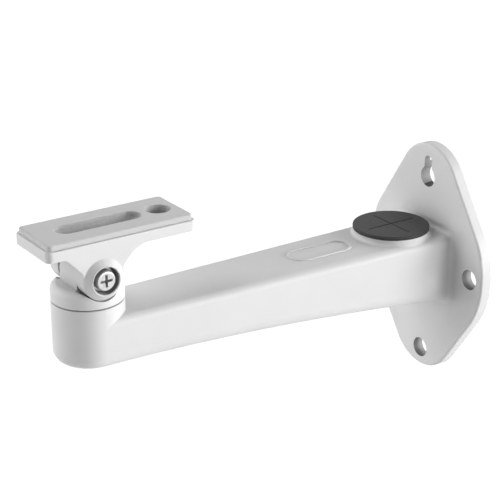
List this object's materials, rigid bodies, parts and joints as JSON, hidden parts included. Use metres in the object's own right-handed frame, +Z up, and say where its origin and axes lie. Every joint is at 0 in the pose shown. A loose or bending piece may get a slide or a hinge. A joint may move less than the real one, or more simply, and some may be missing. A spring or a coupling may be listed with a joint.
{
  "type": "camera wall bracket",
  "caption": "Cast wall bracket with a kite-shaped plate, a hollow arm, a cable plug, and a swivel and tilt head that carries a slotted camera table.",
  "frame": {"origin": "midway between the two side screw holes, on the wall plane at the back of the plate", "axes": "+Z up, the arm reaches out from the wall along -Y, and +X is to the right for someone who faces the wall"},
  "size_m": [0.07, 0.1816, 0.0971],
  "materials": {
    "white_coat": "fine matt powder coat on cast aluminium",
    "dark_rubber": "matt",
    "grey_pad": "matt",
    "zinc_steel": "bright zinc"
  },
  "bodies": {
    "bracket": {"bracket_body": "white_coat", "cable_grommet": "dark_rubber"},
    "swivel": {"swivel_base": "white_coat", "pan_screw": "zinc_steel", "pan_spring_washer": "zinc_steel", "pan_flat_washer": "zinc_steel"},
    "head": {"tilt_head": "white_coat", "camera_pad": "grey_pad", "tilt_screw": "zinc_steel", "tilt_spring_washer": "zinc_steel", "tilt_flat_washer": "zinc_steel", "tilt_nut": "zinc_steel"}
  },
  "joints": [
    {"name": "pan", "type": "hinge", "parent": "bracket", "child": "swivel", "pos_m": [0, -0.1607, 0.02055], "axis": [0, 0, 1], "continuous": true},
    {"name": "tilt", "type": "hinge", "parent": "swivel", "child": "head", "pos_m": [0, -0.1607, 0.0317], "axis": [1, 0, 0], "range_deg": [-35, 35]}
  ]
}
